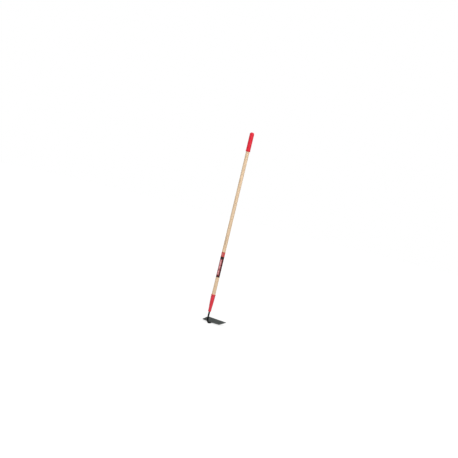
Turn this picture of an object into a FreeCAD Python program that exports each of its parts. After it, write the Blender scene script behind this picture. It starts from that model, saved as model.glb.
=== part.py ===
import FreeCAD, Part
import os

import Sketcher
from FreeCAD import Placement, Rotation, Vector

# A long-handled garden hoe: a flat draw blade welded to a bent steel neck, whose tang runs up
# inside a pressed ferrule into the wooden handle and is pinned there by one cross rivet.
#
# Frame, in millimetres: +Z runs up the handle's axis and +X towards the blade's cutting edge.
# The origin is on the handle's axis, halfway along the bare wood between ferrule and label.

SIZES = (
    # alias, value, what it is
    ("handle_length", 1372, "wooden handle, end to end"),
    ("barrel_dia", 28.6, "handle through the ferrule, clip seat and label"),
    ("barrel_length", 360, "full-size handle above the ferrule rim"),
    ("taper_length", 420, "handle's slow taper above the barrel"),
    ("handle_top_dia", 27, "handle above the taper and in the grip"),
    ("handle_edge", 1.5, "chamfer on the handle's upper end"),
    ("seat_depth", 97, "handle inside the ferrule"),
    ("clip_seat_length", 137, "bare wood between ferrule rim and label"),
    ("label_length", 200, "printed label wrapped round the handle"),
    ("label_film", 0.25, "label thickness"),
    ("grip_length", 150, "end grip, overall"),
    ("grip_wall", 3.4, "grip wall"),
    ("grip_fit", 0.05, "radial gap between grip and handle"),
    ("grip_end_wall", 6, "grip beyond the handle's end"),
    ("grip_dome", 14, "rounding of the grip's closed end"),
    ("grip_bead_length", 7, "bead at the grip's mouth"),
    ("grip_bead_stand", 1, "how far the bead stands out"),
    ("bead_rounding", 0.9, "rounding of the grip's bead"),
    ("ferrule_length", 137, "ferrule, rim to lower end"),
    ("ferrule_wall", 1.5, "ferrule sheet"),
    ("ferrule_fit", 0.1, "radial gap between ferrule and handle"),
    ("ferrule_straight", 36, "straight part of the ferrule below its rim"),
    ("waist_depth", 84, "depth below the rim where the slow taper ends"),
    ("waist_dia", 27.8, "outside of the ferrule there"),
    ("throat_depth", 104, "depth below the rim where the quick taper ends"),
    ("throat_dia", 24, "outside of the ferrule there"),
    ("collar_dia", 23.4, "outside of the ferrule at its lower end"),
    ("collar_rounding", 2.5, "rounding of the ferrule's lower end"),
    ("lip_thickness", 2.4, "ferrule end turned in to the neck"),
    ("rim_height", 7, "rolled rim of the ferrule, along the handle"),
    ("rim_stand", 1.8, "how far the rolled rim stands out"),
    ("rim_rounding", 1.7, "rounding of the rolled rim"),
    ("rivet_depth", 20, "rivet below the ferrule rim"),
    ("rivet_dia", 5, "rivet body"),
    ("rivet_fit", 0.05, "radial gap round the rivet"),
    ("rivet_head_dia", 10, "rivet heads"),
    ("rivet_head_height", 2.2, "rivet head above the ferrule"),
    ("rivet_head_rounding", 0.8, "rounding of the heads"),
    ("neck_dia", 13, "round bar of the neck and tang"),
    ("neck_fit", 0.1, "radial gap round the bar in wood and ferrule"),
    ("tang_length", 118, "bar inside the wood"),
    ("tang_point", 3.5, "chamfer on the tang's end"),
    ("bore_spare", 4, "bore beyond the tang's end"),
    ("neck_drop", 91.4, "ferrule end down to the bottom of the bend"),
    ("bend_radius", 39, "bend of the neck, at the bar's centre"),
    ("blade_angle", 81, "degrees between blade and handle"),
    ("draw_angle", 38, "degrees of the bend over which the bar is drawn flat"),
    ("foot_width", 20, "flat foot under the blade"),
    ("foot_thickness", 6, "the same"),
    ("foot_length", 34, "the same, from the end of the bend"),
    ("foot_rounding", 4, "corners of the foot's toe"),
    ("blade_setback", 4, "end of the bend to the blade's back edge"),
    ("blade_depth", 102, "blade from crown to cutting edge"),
    ("blade_width", 174, "cutting edge"),
    ("blade_back_width", 159, "blade across its shoulders"),
    ("crown_width", 46, "level part of the blade's back edge"),
    ("shoulder_drop", 7, "crown to shoulders"),
    ("blade_thickness", 2.5, "blade plate"),
    ("crown_rounding", 16, "corners of the crown"),
    ("shoulder_rounding", 9, "corners at the shoulders"),
    ("tip_rounding", 2.5, "corners of the cutting edge"),
    ("bevel_length", 9, "ground bevel on the blade's outer face"),
    ("edge_thickness", 0.6, "what the bevel leaves"),
    ("weld_start", 2, "back edge to the start of the side welds"),
    ("weld_leg", 4, "side and toe welds, along each leg"),
    ("back_weld_leg", 2.2, "weld along the back edge"),
    ("weld_margin", 1, "foot corner to the end of a weld"),
)

# Where things are, each worked out from the sizes and from places above it.
PLACES = (
    ("rim_z", "-Sizes.clip_seat_length / 2"),
    ("label_low_z", "Sizes.clip_seat_length / 2"),
    ("label_top_z", "Places.label_low_z + Sizes.label_length"),
    ("handle_low_z", "Places.rim_z - Sizes.seat_depth"),
    ("handle_top_z", "Places.handle_low_z + Sizes.handle_length"),
    ("barrel_top_z", "Places.rim_z + Sizes.barrel_length"),
    ("taper_top_z", "Places.barrel_top_z + Sizes.taper_length"),
    ("barrel_r", "Sizes.barrel_dia / 2"),
    ("handle_top_r", "Sizes.handle_top_dia / 2"),
    ("grip_top_z", "Places.handle_top_z + Sizes.grip_end_wall"),
    ("grip_low_z", "Places.grip_top_z - Sizes.grip_length"),
    ("grip_in_r", "Places.handle_top_r + Sizes.grip_fit"),
    ("grip_r", "Places.grip_in_r + Sizes.grip_wall"),
    ("ferrule_in_r", "Places.barrel_r + Sizes.ferrule_fit"),
    ("ferrule_r", "Places.ferrule_in_r + Sizes.ferrule_wall"),
    ("waist_in_r", "Sizes.waist_dia / 2 - Sizes.ferrule_wall"),
    ("throat_in_r", "Sizes.throat_dia / 2 - Sizes.ferrule_wall"),
    ("straight_z", "Places.rim_z - Sizes.ferrule_straight"),
    ("waist_z", "Places.rim_z - Sizes.waist_depth"),
    ("throat_z", "Places.rim_z - Sizes.throat_depth"),
    ("ferrule_low_z", "Places.rim_z - Sizes.ferrule_length"),
    ("lip_top_z", "Places.ferrule_low_z + Sizes.lip_thickness"),
    ("rivet_z", "Places.rim_z - Sizes.rivet_depth"),
    ("rivet_hole_r", "Sizes.rivet_dia / 2 + Sizes.rivet_fit"),
    ("rivet_top_r", "Places.ferrule_r + Sizes.rivet_head_height"),
    ("seat_share", "(Sizes.seat_depth - Sizes.waist_depth) / (Sizes.throat_depth - Sizes.waist_depth)"),
    ("seat_end_r", "Places.waist_in_r + (Places.throat_in_r - Places.waist_in_r) * Places.seat_share"),
    ("neck_r", "Sizes.neck_dia / 2"),
    ("neck_hole_r", "Places.neck_r + Sizes.neck_fit"),
    ("tang_top_z", "Places.handle_low_z + Sizes.tang_length"),
    ("bore_top_z", "Places.tang_top_z + Sizes.bore_spare"),
    ("neck_low_z", "Places.ferrule_low_z - Sizes.neck_drop"),
    ("bend_top_z", "Places.neck_low_z + Sizes.bend_radius"),
    ("lift", "90 - Sizes.blade_angle"),
    ("bend_sweep", "180 - Sizes.blade_angle"),
    ("round_sweep", "Places.bend_sweep - Sizes.draw_angle"),
    ("foot_x", "Sizes.bend_radius * (1 - cos(Places.bend_sweep))"),
    ("foot_z", "Places.bend_top_z - Sizes.bend_radius * sin(Places.bend_sweep)"),
    ("foot_half", "Sizes.foot_thickness / 2"),
    # the blade's own origin: middle of its back edge, on its outer face
    ("setback_x", "Sizes.blade_setback * cos(Places.lift)"),
    ("setback_z", "Sizes.blade_setback * sin(Places.lift)"),
    ("blade_x", "Places.foot_x + Places.setback_x - Places.foot_half * sin(Places.lift)"),
    ("blade_z", "Places.foot_z + Places.setback_z + Places.foot_half * cos(Places.lift)"),
    ("foot_end", "Sizes.foot_length - Sizes.blade_setback"),
    ("bevel_rise", "Sizes.blade_thickness - Sizes.edge_thickness"),
)

DRAW_STEPS = 3  # lofted stages from round bar to flat foot
ROUND_CORNER = 0.5**0.5  # where a circle's quarter points lie, as a share of its radius
QUARTERS = ((1, -1), (1, 1), (-1, 1), (-1, -1))  # the corners of a bar's section, in turn
NEAR = 0.01  # two places closer than this, in mm, are the same place
LOOSE = 5  # size or angle of anything until its own formula sets it
LOOSE_PLACE = Vector(1, 1, 1)  # where anything lies until its own formula places it

doc = FreeCAD.newDocument("garden_hoe")
sizes = doc.addObject("Spreadsheet::Sheet", "Sizes")
places = doc.addObject("App::VarSet", "Places")


def fill_tables():
    """Puts the driving sizes in the sheet and ties the places to them."""
    for row, (alias, value, note) in enumerate(SIZES, start=1):
        sizes.set(f"A{row}", alias)
        sizes.set(f"B{row}", str(value))
        sizes.set(f"C{row}", note)
        sizes.setAlias(f"B{row}", alias)
    doc.recompute()
    for name, formula in PLACES:
        places.addProperty("App::PropertyFloat", name, "Places")
        places.setExpression(name, formula)
    doc.recompute()


def origin_plane(body, role):
    return next(plane for plane in body.Origin.OriginFeatures if plane.Role == role)


def new_body(label):
    body = doc.addObject("PartDesign::Body", label)
    body.Label = label
    return body


def new_sketch(body, name, role):
    sketch = body.newObject("Sketcher::SketchObject", name)
    sketch.AttachmentSupport = [(origin_plane(body, role), "")]
    sketch.MapMode = "FlatFace"
    return sketch


def tie(sketch, kind, edge, point, formula):
    """Holds a point of an edge at a signed distance from the sketch's origin."""
    if formula == "0":
        axis = -2 if kind == "DistanceX" else -1
        sketch.addConstraint(Sketcher.Constraint("PointOnObject", edge, point, axis))
        return
    here = sketch.getPoint(edge, point)
    value = here.x if kind == "DistanceX" else here.y
    index = sketch.addConstraint(Sketcher.Constraint(kind, -1, 1, edge, point, value))
    sketch.setExpression(f"Constraints[{index}]", formula)


def draw_outline(sketch, corners):
    """A closed outline of straight edges through corners given as pairs of formulas."""
    count = len(corners)
    loose = [Rotation(Vector(0, 0, 1), 360 * i / count).multVec(Vector(LOOSE, 0, 0)) for i in range(count)]
    for i in range(count):
        sketch.addGeometry(Part.LineSegment(loose[i], loose[(i + 1) % count]))
    for i in range(count):
        sketch.addConstraint(Sketcher.Constraint("Coincident", i, 2, (i + 1) % count, 1))
    for i, (across, up) in enumerate(corners):
        tie(sketch, "DistanceX", i, 1, across)
        tie(sketch, "DistanceY", i, 1, up)


def draw_circle(sketch, across, up, radius):
    circle = sketch.addGeometry(Part.Circle(Vector(LOOSE, LOOSE, 0), Vector(0, 0, 1), LOOSE))
    tie(sketch, "DistanceX", circle, 3, across)
    tie(sketch, "DistanceY", circle, 3, up)
    index = sketch.addConstraint(Sketcher.Constraint("Radius", circle, LOOSE))
    sketch.setExpression(f"Constraints[{index}]", radius)


def turned(body, corners):
    """A solid turned about the body's Z axis from a half section (radius, height)."""
    sketch = new_sketch(body, f"{body.Label}_section", "XZ_Plane")
    draw_outline(sketch, corners)
    turn = body.newObject("PartDesign::Revolution", f"{body.Label}_turn")
    turn.Profile = sketch
    turn.ReferenceAxis = (sketch, ["V_Axis"])
    turn.Angle = 360
    sketch.Visibility = False
    doc.recompute()
    return turn


def cross_hole(body):
    """Drills the rivet's hole right through a body, along Y, and checks that it cut."""
    before = body.Shape.Volume
    sketch = new_sketch(body, f"{body.Label}_rivet_hole", "XZ_Plane")
    draw_circle(sketch, "0", "Places.rivet_z", "Places.rivet_hole_r")
    hole = body.newObject("PartDesign::Pocket", f"{body.Label}_drilling")
    hole.Profile = sketch
    hole.Type = "ThroughAll"
    hole.Midplane = True
    doc.recompute()
    if not hole.Shape.Volume < before:
        raise RuntimeError(f"{body.Label}: the rivet hole cut nothing")


def ring_edges(shape, radius, height):
    """Names of the circular edges round the Z axis with that radius at that height."""
    names = []
    for number, edge in enumerate(shape.Edges, start=1):
        curve = edge.Curve
        if not isinstance(curve, Part.Circle):
            continue
        if abs(curve.Radius - radius) < NEAR and abs(curve.Center.z - height) < NEAR:
            names.append(f"Edge{number}")
    return names


def upright_edges(shape, x, y):
    """Names of the straight edges along Z that stand at (x, y)."""
    names = []
    for number, edge in enumerate(shape.Edges, start=1):
        ends = [vertex.Point for vertex in edge.Vertexes]
        if len(ends) == 2 and all(abs(p.x - x) < NEAR and abs(p.y - y) < NEAR for p in ends):
            names.append(f"Edge{number}")
    return names


def rounded(body, feature, edges, name, radius):
    """Rounds some edges of a feature by a radius given as a formula."""
    if not edges:
        raise RuntimeError(f"{body.Label}: no edge to round for {name}")
    fillet = body.newObject("PartDesign::Fillet", f"{body.Label}_{name}")
    fillet.Base = (feature, edges)
    fillet.setExpression("Radius", radius)
    doc.recompute()
    return fillet


def make_handle():
    """Turned ash handle: tapered seat and tang bore below, slow taper and chamfer above."""
    body = new_body("handle")
    turned(
        body,
        (
            ("0", "Places.handle_top_z"),
            ("0", "Places.bore_top_z"),
            ("Places.neck_hole_r", "Places.bore_top_z"),
            ("Places.neck_hole_r", "Places.handle_low_z"),
            ("Places.seat_end_r - Sizes.ferrule_fit", "Places.handle_low_z"),
            ("Places.waist_in_r - Sizes.ferrule_fit", "Places.waist_z"),
            ("Places.barrel_r", "Places.straight_z"),
            ("Places.barrel_r", "Places.barrel_top_z"),
            ("Places.handle_top_r", "Places.taper_top_z"),
            ("Places.handle_top_r", "Places.handle_top_z - Sizes.handle_edge"),
            ("Places.handle_top_r - Sizes.handle_edge", "Places.handle_top_z"),
        ),
    )
    cross_hole(body)
    return body


def make_end_grip():
    """Soft slip-on grip: a closed, domed end and a bead at its mouth."""
    body = new_body("end_grip")
    turn = turned(
        body,
        (
            ("0", "Places.grip_top_z"),
            ("0", "Places.handle_top_z"),
            ("Places.grip_in_r", "Places.handle_top_z"),
            ("Places.grip_in_r", "Places.grip_low_z"),
            ("Places.grip_r + Sizes.grip_bead_stand", "Places.grip_low_z"),
            ("Places.grip_r + Sizes.grip_bead_stand", "Places.grip_low_z + Sizes.grip_bead_length"),
            ("Places.grip_r", "Places.grip_low_z + Sizes.grip_bead_length"),
            ("Places.grip_r", "Places.grip_top_z"),
        ),
    )
    top_edges = ring_edges(turn.Shape, places.grip_r, places.grip_top_z)
    dome = rounded(body, turn, top_edges, "dome", "Sizes.grip_dome")
    bead_r = places.grip_r + sizes.grip_bead_stand
    bead_edges = ring_edges(dome.Shape, bead_r, places.grip_low_z)
    bead_edges += ring_edges(dome.Shape, bead_r, places.grip_low_z + sizes.grip_bead_length)
    rounded(body, dome, bead_edges, "bead", "Sizes.bead_rounding")
    return body


def make_label():
    """Printed film wrapped once round the handle's barrel."""
    body = new_body("label_wrap")
    turned(
        body,
        (
            ("Places.barrel_r", "Places.label_low_z"),
            ("Places.barrel_r + Sizes.label_film", "Places.label_low_z"),
            ("Places.barrel_r + Sizes.label_film", "Places.label_top_z"),
            ("Places.barrel_r", "Places.label_top_z"),
        ),
    )
    return body


def make_ferrule():
    """Pressed steel ferrule: rolled rim, straight top, two tapers and an end turned in to the neck."""
    body = new_body("ferrule")
    turn = turned(
        body,
        (
            ("Places.ferrule_in_r", "Places.rim_z"),
            ("Places.ferrule_r + Sizes.rim_stand", "Places.rim_z"),
            ("Places.ferrule_r + Sizes.rim_stand", "Places.rim_z - Sizes.rim_height"),
            ("Places.ferrule_r", "Places.rim_z - Sizes.rim_height"),
            ("Places.ferrule_r", "Places.straight_z"),
            ("Sizes.waist_dia / 2", "Places.waist_z"),
            ("Sizes.throat_dia / 2", "Places.throat_z"),
            ("Sizes.collar_dia / 2", "Places.ferrule_low_z"),
            ("Places.neck_hole_r", "Places.ferrule_low_z"),
            ("Places.neck_hole_r", "Places.lip_top_z"),
            ("Sizes.collar_dia / 2 - Sizes.ferrule_wall", "Places.lip_top_z"),
            ("Places.throat_in_r", "Places.throat_z"),
            ("Places.waist_in_r", "Places.waist_z"),
            ("Places.ferrule_in_r", "Places.straight_z"),
        ),
    )
    rim_r = places.ferrule_r + sizes.rim_stand
    rim_edges = ring_edges(turn.Shape, rim_r, places.rim_z)
    rim_edges += ring_edges(turn.Shape, rim_r, places.rim_z - sizes.rim_height)
    rim = rounded(body, turn, rim_edges, "rim", "Sizes.rim_rounding")
    end_edges = ring_edges(rim.Shape, sizes.collar_dia / 2, places.ferrule_low_z)
    rounded(body, rim, end_edges, "end", "Sizes.collar_rounding")
    cross_hole(body)
    return body


def rivet_part(kind, label, middle, **formulas):
    """One primitive of the rivet, centred on the rivet's middle by its own half height."""
    part = doc.addObject(kind, label)
    for name, formula in formulas.items():
        part.setExpression(name, formula)
    if middle == "across":
        part.Placement = Placement(LOOSE_PLACE, Rotation(Vector(1, 0, 0), 90))
        part.setExpression("Placement.Base.x", "0")
        part.setExpression("Placement.Base.y", f"({formulas['Height']}) / 2")
        part.setExpression("Placement.Base.z", "Places.rivet_z")
    elif middle == "along":
        part.setExpression("Placement.Base.z", f"Places.rivet_z - ({formulas['Height']}) / 2")
    else:
        part.setExpression("Placement.Base.z", "Places.rivet_z")
    return part


def make_rivet():
    """Cross rivet through ferrule, handle and tang, its heads formed down on the round ferrule."""
    span = "2 * Places.rivet_top_r"
    head_r = "Sizes.rivet_head_dia / 2"
    dome = rivet_part("Part::Sphere", "rivet_dome", "centre", Radius="Places.rivet_top_r")
    blank = rivet_part("Part::Cylinder", "rivet_blank", "across", Radius=head_r, Height=span)
    stem = rivet_part("Part::Cylinder", "rivet_stem", "across", Radius="Sizes.rivet_dia / 2", Height=span)
    seat = rivet_part("Part::Cylinder", "rivet_seat", "along", Radius="Places.ferrule_r", Height=span)
    solid = doc.addObject("Part::Common", "rivet_solid")
    solid.Base, solid.Tool = dome, blank
    around = doc.addObject("Part::Cut", "rivet_around")
    around.Base, around.Tool = seat, stem
    plain = doc.addObject("Part::Cut", "rivet_plain")
    plain.Base, plain.Tool = solid, around
    doc.recompute()
    rims = []
    for number, edge in enumerate(plain.Shape.Edges, start=1):
        is_ring = isinstance(edge.Curve, Part.Circle) and abs(edge.Curve.Axis.y) > 1 - NEAR
        if is_ring and abs(edge.Curve.Radius - sizes.rivet_head_dia / 2) < NEAR:
            rims.append((number, sizes.rivet_head_rounding, sizes.rivet_head_rounding))
    rivet = doc.addObject("Part::Fillet", "ferrule_rivet")
    rivet.Base = plain
    rivet.Edges = rims
    rivet.Label = "ferrule_rivet"
    return rivet


def lay_section(sketch, share):
    """Stands a section across the bend, that share of the way through the drawing."""
    sketch.AttachmentOffset = Placement(LOOSE_PLACE, Rotation(Vector(0, -1, 0), LOOSE))
    sweep = f"(Places.round_sweep + Sizes.draw_angle * {share})"
    sketch.setExpression("AttachmentOffset.Rotation.Angle", sweep)
    sketch.setExpression("AttachmentOffset.Base.x", f"Sizes.bend_radius * (1 - cos({sweep}))")
    sketch.setExpression("AttachmentOffset.Base.y", "0")
    sketch.setExpression("AttachmentOffset.Base.z", f"Places.bend_top_z - Sizes.bend_radius * sin({sweep})")


def draw_sides(sketch, share):
    """Draws a section's four sides near their places, end to end, and returns its corner points."""
    thick = places.neck_r + (places.foot_half - places.neck_r) * share
    wide = places.neck_r + (sizes.foot_width / 2 - places.neck_r) * share
    reach = ROUND_CORNER + (1 - ROUND_CORNER) * share
    points = [Vector(x * thick * reach, y * wide * reach, 0) for x, y in QUARTERS]
    middles = (Vector(thick, 0, 0), Vector(0, wide, 0), Vector(-thick, 0, 0), Vector(0, -wide, 0))
    for i, middle in enumerate(middles):
        start, end = points[i], points[(i + 1) % 4]
        if share == 1:
            sketch.addGeometry(Part.LineSegment(start, end))
        else:
            sketch.addGeometry(Part.Arc(start, middle, end))
    for i in range(4):
        following = (i + 1) % 4
        first = end_at(sketch, i, points[following])
        second = end_at(sketch, following, points[following])
        sketch.addConstraint(Sketcher.Constraint("Coincident", i, first, following, second))
    return points


def end_at(sketch, edge, point):
    """Which end of an edge lies at a point: a short bulge turns its arc round."""
    return 1 if (sketch.getPoint(edge, 1) - point).Length < NEAR else 2


def bar_section(body, step):
    """The neck's section after a number of drawing steps: four arcs, round at first, oblong at last."""
    share = step / DRAW_STEPS
    corner = f"({ROUND_CORNER} + {(1 - ROUND_CORNER) * share})"
    half_thick = f"(Places.neck_r + (Places.foot_half - Places.neck_r) * {share})"
    half_wide = f"(Places.neck_r + (Sizes.foot_width / 2 - Places.neck_r) * {share})"
    sketch = new_sketch(body, f"neck_section_{step}", "XY_Plane")
    lay_section(sketch, share)
    points = draw_sides(sketch, share)
    for i, (x, y) in enumerate(QUARTERS):
        end = end_at(sketch, i, points[i])
        tie(sketch, "DistanceX", i, end, f"{x} * {half_thick} * {corner}")
        tie(sketch, "DistanceY", i, end, f"{y} * {half_wide} * {corner}")
    if step == DRAW_STEPS:
        return sketch
    for i in range(4):
        bulging, along = (half_thick, half_wide) if i % 2 == 0 else (half_wide, half_thick)
        rise = f"({bulging} * (1 - {corner}))"
        radius = f"(({along} * {corner}) ^ 2 + {rise} ^ 2) / (2 * {rise})"
        index = sketch.addConstraint(Sketcher.Constraint("Radius", i, sketch.Geometry[i].Radius))
        sketch.setExpression(f"Constraints[{index}]", radius)
    return sketch


def neck_path(body):
    """The bar's centre line: straight down the handle's axis, then round the bend while still round."""
    radius, sweep = sizes.bend_radius, places.round_sweep
    path = new_sketch(body, "neck_path", "XZ_Plane")
    path.addGeometry(Part.LineSegment(Vector(0, places.tang_top_z, 0), Vector(0, places.bend_top_z, 0)))
    centre = Vector(radius, places.bend_top_z, 0)
    spoke = Vector(-radius, 0, 0)
    turns = (0, sweep / 2, sweep)
    path.addGeometry(Part.Arc(*[centre + Rotation(Vector(0, 0, 1), turn).multVec(spoke) for turn in turns]))
    path.addConstraint(Sketcher.Constraint("Coincident", 0, 2, 1, 1))
    tie(path, "DistanceX", 0, 1, "0")
    tie(path, "DistanceY", 0, 1, "Places.tang_top_z")
    tie(path, "DistanceX", 0, 2, "0")
    tie(path, "DistanceY", 0, 2, "Places.bend_top_z")
    tie(path, "DistanceX", 1, 3, "Sizes.bend_radius")
    tie(path, "DistanceY", 1, 3, "Places.bend_top_z")
    tie(path, "DistanceX", 1, 2, "Sizes.bend_radius * (1 - cos(Places.round_sweep))")
    return path


def round_bar(body):
    """Tang, neck and first part of the bend, with the tang's pointed end."""
    tang_end = new_sketch(body, "tang_section", "XY_Plane")
    tang_end.setExpression("AttachmentOffset.Base.z", "Places.tang_top_z")
    draw_circle(tang_end, "0", "0", "Places.neck_r")
    bar = body.newObject("PartDesign::AdditivePipe", "neck_bar")
    bar.Profile = tang_end
    bar.Spine = (neck_path(body), ["Edge1", "Edge2"])
    doc.recompute()
    point = body.newObject("PartDesign::Chamfer", "tang_point")
    point.Base = (bar, ring_edges(bar.Shape, places.neck_r, places.tang_top_z))
    point.setExpression("Size", "Sizes.tang_point")
    doc.recompute()


def toe_edges(shape):
    """Names of the foot's two short edges across its toe."""
    tilt = Rotation(Vector(0, -1, 0), places.lift)
    start = Vector(places.foot_x, 0, places.foot_z)
    toe = start + tilt.multVec(Vector(sizes.foot_length, 0, 0))
    names = []
    for number, edge in enumerate(shape.Edges, start=1):
        middle = edge.CenterOfMass - toe
        at_corner = abs(middle.Length - sizes.foot_width / 2) < NEAR
        if at_corner and abs(edge.Length - sizes.foot_thickness) < NEAR:
            names.append(f"Edge{number}")
    return names


def make_neck():
    """Neck and tang in one bar: straight tang, one long bend, drawn flat into the foot."""
    body = new_body("neck")
    round_bar(body)
    sections = [bar_section(body, step) for step in range(DRAW_STEPS + 1)]
    doc.recompute()
    drawn = body.newObject("PartDesign::AdditiveLoft", "neck_drawn")
    drawn.Profile = sections[0]
    drawn.Sections = sections[1:]
    doc.recompute()
    foot = body.newObject("PartDesign::Pad", "neck_foot")
    foot.Profile = sections[-1]
    foot.setExpression("Length", "Sizes.foot_length")
    foot.Reversed = True
    doc.recompute()
    rounded(body, foot, toe_edges(foot.Shape), "toe", "Sizes.foot_rounding")
    cross_hole(body)
    return body


def on_blade(body):
    """Lays a body on the blade: its X towards the cutting edge, its Z off the blade's outer face."""
    body.Placement = Placement(LOOSE_PLACE, Rotation(Vector(0, -1, 0), LOOSE))
    body.setExpression("Placement.Base.x", "Places.blade_x")
    body.setExpression("Placement.Base.y", "0")
    body.setExpression("Placement.Base.z", "Places.blade_z")
    body.setExpression("Placement.Rotation.Angle", "Places.lift")


def make_blade():
    """Flat plate blade: level crown, sloping shoulders, flared sides and a ground cutting edge."""
    body = new_body("blade")
    sketch = new_sketch(body, "blade_outline", "XY_Plane")
    half_crown = "Sizes.crown_width / 2"
    half_back = "Sizes.blade_back_width / 2"
    half_edge = "Sizes.blade_width / 2"
    right = (("0", half_crown), ("Sizes.shoulder_drop", half_back), ("Sizes.blade_depth", half_edge))
    left = tuple((depth, f"-{half}") for depth, half in reversed(right))
    draw_outline(sketch, right + left)
    plate = body.newObject("PartDesign::Pad", "blade_plate")
    plate.Profile = sketch
    plate.setExpression("Length", "Sizes.blade_thickness")
    doc.recompute()
    corners = (
        ("crown", "crown_rounding", 0, sizes.crown_width / 2),
        ("shoulders", "shoulder_rounding", sizes.shoulder_drop, sizes.blade_back_width / 2),
        ("tips", "tip_rounding", sizes.blade_depth, sizes.blade_width / 2),
    )
    feature = plate
    for name, size, x, y in corners:
        edges = upright_edges(feature.Shape, x, y) + upright_edges(feature.Shape, x, -y)
        feature = rounded(body, feature, edges, name, f"Sizes.{size}")
    before = feature.Shape.Volume
    wedge = new_sketch(body, "bevel_section", "XZ_Plane")
    draw_outline(
        wedge,
        (
            ("Sizes.blade_depth - Sizes.bevel_length", "0"),
            ("Sizes.blade_depth + Sizes.bevel_length", "0"),
            ("Sizes.blade_depth + Sizes.bevel_length", "2 * Places.bevel_rise"),
        ),
    )
    bevel = body.newObject("PartDesign::Pocket", "blade_bevel")
    bevel.Profile = wedge
    bevel.Type = "ThroughAll"
    bevel.Midplane = True
    doc.recompute()
    if not bevel.Shape.Volume < before:
        raise RuntimeError("blade: the bevel cut nothing")
    on_blade(body)
    return body


def weld_bead(label, role, section, offset, length):
    """A fillet weld with a three-cornered section, laid on the blade."""
    body = new_body(label)
    sketch = new_sketch(body, f"{label}_section", role)
    sketch.setExpression("AttachmentOffset.Base.z", offset)
    draw_outline(sketch, section)
    bead = body.newObject("PartDesign::Pad", f"{label}_run")
    bead.Profile = sketch
    bead.setExpression("Length", length)
    on_blade(body)
    return body


def make_welds():
    """Four welds round the foot: one down each side, one at its toe, one along the back edge."""
    edge = "Sizes.foot_width / 2"
    side_run = "Places.foot_end - Sizes.weld_start - Sizes.foot_rounding"
    cross_run = "Sizes.foot_width - 2 * (Sizes.foot_rounding + Sizes.weld_margin)"
    beads = []
    for label, sign in (("weld_bead_left", "-"), ("weld_bead_right", "")):
        section = (
            (f"{sign}({edge})", "0"),
            (f"{sign}({edge} + Sizes.weld_leg)", "0"),
            (f"{sign}({edge})", "-Sizes.weld_leg"),
        )
        beads.append(weld_bead(label, "YZ_Plane", section, "Sizes.weld_start", side_run))
    toe = (
        ("Places.foot_end", "0"),
        ("Places.foot_end + Sizes.weld_leg", "0"),
        ("Places.foot_end", "-Sizes.weld_leg"),
    )
    back = (("0", "0"), ("-Sizes.back_weld_leg", "0"), ("0", "Sizes.back_weld_leg"))
    # the XZ plane faces -Y, so a run centred on the blade starts half its length behind
    for label, section in (("weld_bead_toe", toe), ("weld_bead_back", back)):
        beads.append(weld_bead(label, "XZ_Plane", section, f"-({cross_run}) / 2", cross_run))
    return beads


def check(parts):
    """Stops if any feature failed or any part is empty, unsound or in more than one piece."""
    doc.recompute()
    for item in doc.Objects:
        if "Invalid" in item.State or "Error" in item.State:
            raise RuntimeError(f"{item.Name} failed: {item.State}")
    for part in parts:
        shape = part.Shape
        if shape.isNull() or not shape.isValid() or len(shape.Solids) != 1:
            raise RuntimeError(f"{part.Label} is not one sound solid")


def main():
    fill_tables()
    parts = [make_handle(), make_end_grip(), make_label(), make_ferrule(), make_rivet()]
    parts += [make_neck(), make_blade(), *make_welds()]
    check(parts)
    os.makedirs("parts", exist_ok=True)
    for part in parts:
        part.Shape.exportStep(f"parts/{part.Label}.step")
        box = part.Shape.BoundBox
        print(f"{part.Label:16s} {part.Shape.Volume:12.1f} mm3  z {box.ZMin:8.2f} to {box.ZMax:8.2f}")


main()
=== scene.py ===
import math

import bmesh
import bpy
from mathutils import Matrix, Vector


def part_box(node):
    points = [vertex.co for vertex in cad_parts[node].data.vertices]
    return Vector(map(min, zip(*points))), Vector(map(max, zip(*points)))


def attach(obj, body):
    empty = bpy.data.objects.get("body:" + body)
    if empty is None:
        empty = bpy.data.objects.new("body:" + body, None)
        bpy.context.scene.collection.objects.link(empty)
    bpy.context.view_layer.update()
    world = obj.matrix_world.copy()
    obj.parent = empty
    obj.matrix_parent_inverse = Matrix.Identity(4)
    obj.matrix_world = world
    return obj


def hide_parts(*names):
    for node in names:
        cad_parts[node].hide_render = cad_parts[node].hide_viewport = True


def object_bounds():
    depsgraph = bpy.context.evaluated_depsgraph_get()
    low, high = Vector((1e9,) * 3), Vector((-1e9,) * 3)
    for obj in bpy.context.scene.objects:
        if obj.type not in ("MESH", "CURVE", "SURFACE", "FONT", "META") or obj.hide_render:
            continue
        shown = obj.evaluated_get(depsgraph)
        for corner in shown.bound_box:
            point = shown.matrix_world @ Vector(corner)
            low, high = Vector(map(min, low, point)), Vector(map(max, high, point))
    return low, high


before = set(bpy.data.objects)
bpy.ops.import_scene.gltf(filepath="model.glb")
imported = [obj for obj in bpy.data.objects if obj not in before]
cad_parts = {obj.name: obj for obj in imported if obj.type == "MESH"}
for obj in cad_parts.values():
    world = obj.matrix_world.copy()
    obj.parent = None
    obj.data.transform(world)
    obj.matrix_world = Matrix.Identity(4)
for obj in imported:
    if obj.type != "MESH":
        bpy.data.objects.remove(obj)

# A long-handled garden hoe: looks and stage. Metres, Z up along the handle, X towards the cutting edge.
CAD_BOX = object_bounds()
MM = 0.001

# ---------------------------------------------------------------- sizes
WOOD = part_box("handle")
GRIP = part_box("end_grip")
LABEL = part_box("label_wrap")
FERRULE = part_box("ferrule")
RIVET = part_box("ferrule_rivet")
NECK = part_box("neck")

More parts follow.
